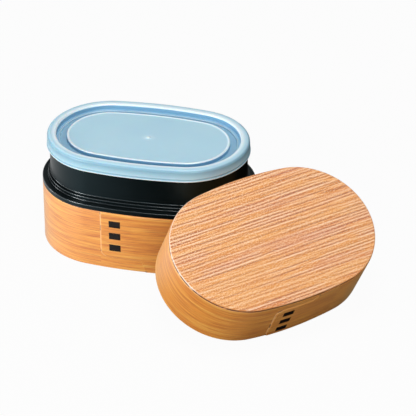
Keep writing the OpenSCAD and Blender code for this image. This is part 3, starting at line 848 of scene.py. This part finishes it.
def brushed_grain(x, y):
    """Height of the brushed grain, 0 in a hollow to 1 on a ridge: a sum of cosine ridges across the
    board, most of them 2 to 5 mm apart, whose phases wander slowly along it, in patches of strength,
    with finer threads and thin cracks between them."""
    draw = np.random.default_rng(RIDGE_SEED)
    total = np.zeros_like(x)
    for k in range(RIDGES):
        pitch = 1 / draw.triangular(*RIDGES_PER_MM)
        wander = WANDER * (2 * value_noise(x / 40 + 50 + 3 * k, y / 30 + 60, WANDER_SEED + k) - 1)
        total = total + np.cos(2 * math.pi * (y / pitch + draw.random()) + wander)
    strength = 0.6 + 0.8 * value_noise(x / 50 + 50, y / 12 + 60, STRENGTH_SEED)
    fine = value_noise(x / 9 + 50, y / 0.7 + 120, FINE_SEED) - 0.5
    crack = np.clip(value_noise(x / 30 + 50, y / 0.7 + 120, CRACK_SEED) * 8 - 7, 0, 1)
    return (0.5 + 0.5 * np.tanh(0.26 * total * strength + 0.9 * fine)) * (1 - 0.8 * crack)


# Rows of the board's grid run along it, and lie closer where the top rounds over at its edge. They
# stop just short of the oval's sides, where a row would have no length.
edge_y = HALF_WIDTH - BOARD_SET - 0.002
inner_rows = np.linspace(-edge_y + 1.6, edge_y - 1.6, BOARD_ROWS)
rows = np.concatenate([-edge_y + EDGE_ROWS, inner_rows, (edge_y - EDGE_ROWS)[::-1]])
columns = np.sin(np.linspace(-1, 1, BOARD_COLUMNS) * math.pi / 2)
x = columns[None] * half_chord(rows, BOARD_SET)[:, None]
y = np.broadcast_to(rows[:, None], x.shape)
grain = brushed_grain(x, y)
fall = np.clip(BOARD_EDGE - edge_distance(x, y, BOARD_SET), 0, BOARD_EDGE)
shape = BOARD_T - BOARD_EDGE + np.sqrt(BOARD_EDGE ** 2 - fall ** 2)
top = np.stack([x, y, LID_H + shape - RELIEF * (1 - grain) * np.clip(1 - fall * 0.6, 0, 1)], -1)
bottom = np.stack([x, y, np.full_like(x, LID_H + REST_GAP)], -1)
points, quads = slab_between(top, bottom)
section = rounded_section([(CAP_INSET, LID_H + 0.5, 0), (BOARD_INSET, LID_H + 0.5, 0),
                           (BOARD_INSET, LID_H - SHOULDER, 0.3), (CAP_INSET, LID_H - SHOULDER, 0)])
shoulder_points, shoulder_faces, _ = capped_sweep(section, plain_ring)
faces = quads.tolist() + [[corner + len(points) for corner in face] for face in shoulder_faces]
everything = np.vstack([points, shoulder_points])
# The underside and the shoulder have no relief. The underside counts as past the edge.
height = np.concatenate([grain.ravel(), np.full(grain.size, 0.5), np.full(len(shoulder_points), 0.5)])
past = np.concatenate([fall.ravel(), np.full(grain.size, 2 * BOARD_EDGE), np.zeros(len(shoulder_points))])
flat_x, flat_y = everything[:, :2].T * MILLIMETRE
board_values = {"grain": height, "over_edge": past, "board_x": flat_x, "board_y": flat_y}
outer_board = make_piece("outer_board", everything, faces, on_outer_lid, None, board_values, sharp=60)

board_top_finish, shader, wire = new_finish("brushed_board", Specular_IOR_Level=0.3)
ridge = wire.carried("grain")
over_edge = wire.carried("over_edge")
board_x = wire.carried("board_x")
board_y = wire.carried("board_y")
place = wire.node("CombineXYZ", None, {0: board_x, 1: board_y})
fibres = place.scaled(60, 1300, 1).noise(2.0, 0.6)
flecks = place.scaled(1000, 1200, 1).noise(1.0, 0.6)
tint = place.scaled(7, 60, 1).noise(2.0, 0.5)
gaps = place.scaled(90, 330, 1).noise(2.0, 0.6)
HOLLOW_SHADE, SHADE, SLOPE = srgb(158, 80, 56), srgb(208, 126, 68), srgb(230, 152, 76)
RISE, RIDGE_PALE, RIDGE_HIGHLIGHT = srgb(238, 172, 104), srgb(244, 196, 148), srgb(248, 218, 188)
PINK_TINT, YELLOW_TINT = srgb(218, 140, 112), srgb(242, 176, 94)
FLECK_PALE, FLECK_DARK, FIBRE_BROWN = srgb(252, 220, 184), srgb(204, 120, 68), srgb(190, 112, 80)
EDGE_BROWN, EDGE_GLINT, JOINT_DARK = srgb(206, 132, 70), srgb(248, 232, 218), srgb(74, 30, 22)
# Colour by the grain's height: its own tone, with painted shade in the hollows and a painted highlight on
# the ridge tops.
colour = ridge.ramp((0.0, HOLLOW_SHADE), (0.16, SHADE), (0.4, SLOPE), (0.65, RISE), (0.88, RIDGE_PALE),
                    (1.0, RIDGE_HIGHLIGHT))
colour = (tint.span(0.52, 0.66) * 0.45).blend(colour, PINK_TINT)
colour = ((1 - tint).span(0.5, 0.66) * 0.4).blend(colour, YELLOW_TINT)
colour = (flecks.span(0.52, 0.62) * 0.7).blend(colour, FLECK_PALE)
colour = ((1 - flecks).span(0.52, 0.62) * 0.6).blend(colour, FLECK_DARK)
colour = (fibres.span(0.6, 0.72) * 0.35).blend(colour, FIBRE_BROWN)
# The rounded edge is browner, with a painted highlight line along it at one end of the board, and under it
# is a broken dark joint.
highlight_end = (board_y * 0.6 - board_x).span(0.06, 0.07)
joint = over_edge.span(0.9, 1.1) * (gaps.span(0.35, 0.5) * 0.75 + 0.2)
colour = (over_edge.span(0.3, 0.7) * 0.7).blend(colour, EDGE_BROWN)
colour = (over_edge.span(0.5, 0.75) * highlight_end * 0.8).blend(colour, EDGE_GLINT)
colour = joint.blend(colour, JOINT_DARK)
connect(shader, colour, 0.5 + flecks * 0.2, fibres * 0.4 + flecks * 0.6, 0.0002)
outer_board.data.materials.append(board_top_finish)
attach(outer_board, "outer_lid")
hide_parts("lid_top_panel")

# ---------------------------------------------------------------- floor, light and camera
# A plain white table under two softboxes at the left, a top light and a front fill, in a dim even
# room. Gloss sees a white backdrop in the table at the left and dark in front, and the camera sees
# the table as almost white.

FLOOR_HALF, FLOOR_DROP = 3.0, 0.0002
FLOOR_WHITE, FLOOR_GREY = 0.96, 0.4
BACKDROP, BACKDROP_LIGHT = (-0.04, 0.05), 0.8
AMBIENT = 0.22

bpy.ops.mesh.primitive_plane_add(size=2 * FLOOR_HALF, location=(0, 0, -FLOOR_DROP))
floor = bpy.context.object
floor.name = "table"
floor_finish, shader, wire = new_finish("white_table", Specular_IOR_Level=0.0)
shader.inputs["Base Color"].default_value = (FLOOR_GREY, FLOOR_GREY, FLOOR_GREY, 1)
RAYS = ("Is Camera Ray", "Is Glossy Ray", "Is Transmission Ray")
camera_ray, glossy_ray, clear_ray = [wire.node("LightPath", output=ray) for ray in RAYS]
place = wire.on_piece()
place_x, place_y = [place.node("SeparateXYZ", None, {0: place}, output=axis) for axis in "XY"]
backdrop = (place_x * -0.9 - place_y.maths("ABSOLUTE") * 0.4).span(*BACKDROP) * BACKDROP_LIGHT
mirrored = glossy_ray + clear_ray
strength = camera_ray + mirrored * backdrop
glow = wire.node("Emission", None, {"Color": (1, 1, 1, 1), "Strength": strength})
share = camera_ray * FLOOR_WHITE + mirrored
mixed = wire.node("MixShader", None, {0: share, 1: Wire(wire.tree, shader.outputs[0]), 2: glow})
wire.tree.links.new(mixed.socket, wire.tree.nodes["Material Output"].inputs["Surface"])
floor.data.materials.append(floor_finish)
floor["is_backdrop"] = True


def softbox(name, at, target, width, height, power):
    """A rectangular area lamp, in metres and watts. It stands at a place and faces a target."""
    lamp = bpy.data.lights.new(name, "AREA")
    lamp.shape, lamp.size, lamp.size_y, lamp.energy = "RECTANGLE", width, height, power
    box = bpy.data.objects.new(name, lamp)
    box.location = at
    box.rotation_mode = "QUATERNION"
    box.rotation_quaternion = (Vector(at) - Vector(target)).to_track_quat("Z", "Y")
    bpy.context.scene.collection.objects.link(box)


MIDDLE = (0, 0, 0.04)
softbox("key_left", (-0.74, -0.78, 0.3), MIDDLE, 0.36, 0.5, 8.5)
softbox("rim_left", (-0.9, 0.0, 0.12), MIDDLE, 0.2, 0.4, 1.6)
softbox("top_light", (0.15, -0.25, 1.25), MIDDLE, 0.5, 0.5, 8.4)
softbox("front_fill", (0.7, -1.4, 0.7), (0.03, 0, 0.04), 0.8, 0.5, 8.2)

world = bpy.data.worlds.new("studio")
bpy.context.scene.world = world
world.use_nodes = True
room = world.node_tree.nodes["Background"]
room.inputs["Color"].default_value = (1, 1, 1, 1)
room.inputs["Strength"].default_value = AMBIENT

CAMERA_AT = (0.51509, -1.91454, 1.23155)
CAMERA_RIGHT = (0.97243, 0.23304, -0.00801)
CAMERA_DOWN = (0.11466, -0.50778, -0.85382)
CAMERA_FORWARD = (-0.20304, 0.82937, -0.5205)
# The lens's length in pixels of a frame this wide, and the sensor's width in millimetres.
FOCAL_PIXELS, FRAME_PIXELS, SENSOR = 3000, 416, 36.0

lens = bpy.data.cameras.new("camera")
lens.sensor_width, lens.lens, lens.clip_end = SENSOR, SENSOR * FOCAL_PIXELS / FRAME_PIXELS, 20.0
camera = bpy.data.objects.new("camera", lens)
turn = np.eye(4)
turn[:3, 0] = CAMERA_RIGHT
turn[:3, 1] = np.negative(CAMERA_DOWN)
turn[:3, 2] = np.negative(CAMERA_FORWARD)
turn[:3, 3] = CAMERA_AT
camera.matrix_world = Matrix(turn.tolist())
bpy.context.scene.collection.objects.link(camera)
bpy.context.scene.camera = camera
bpy.context.scene.view_settings.view_transform = "Standard"

low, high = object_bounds()
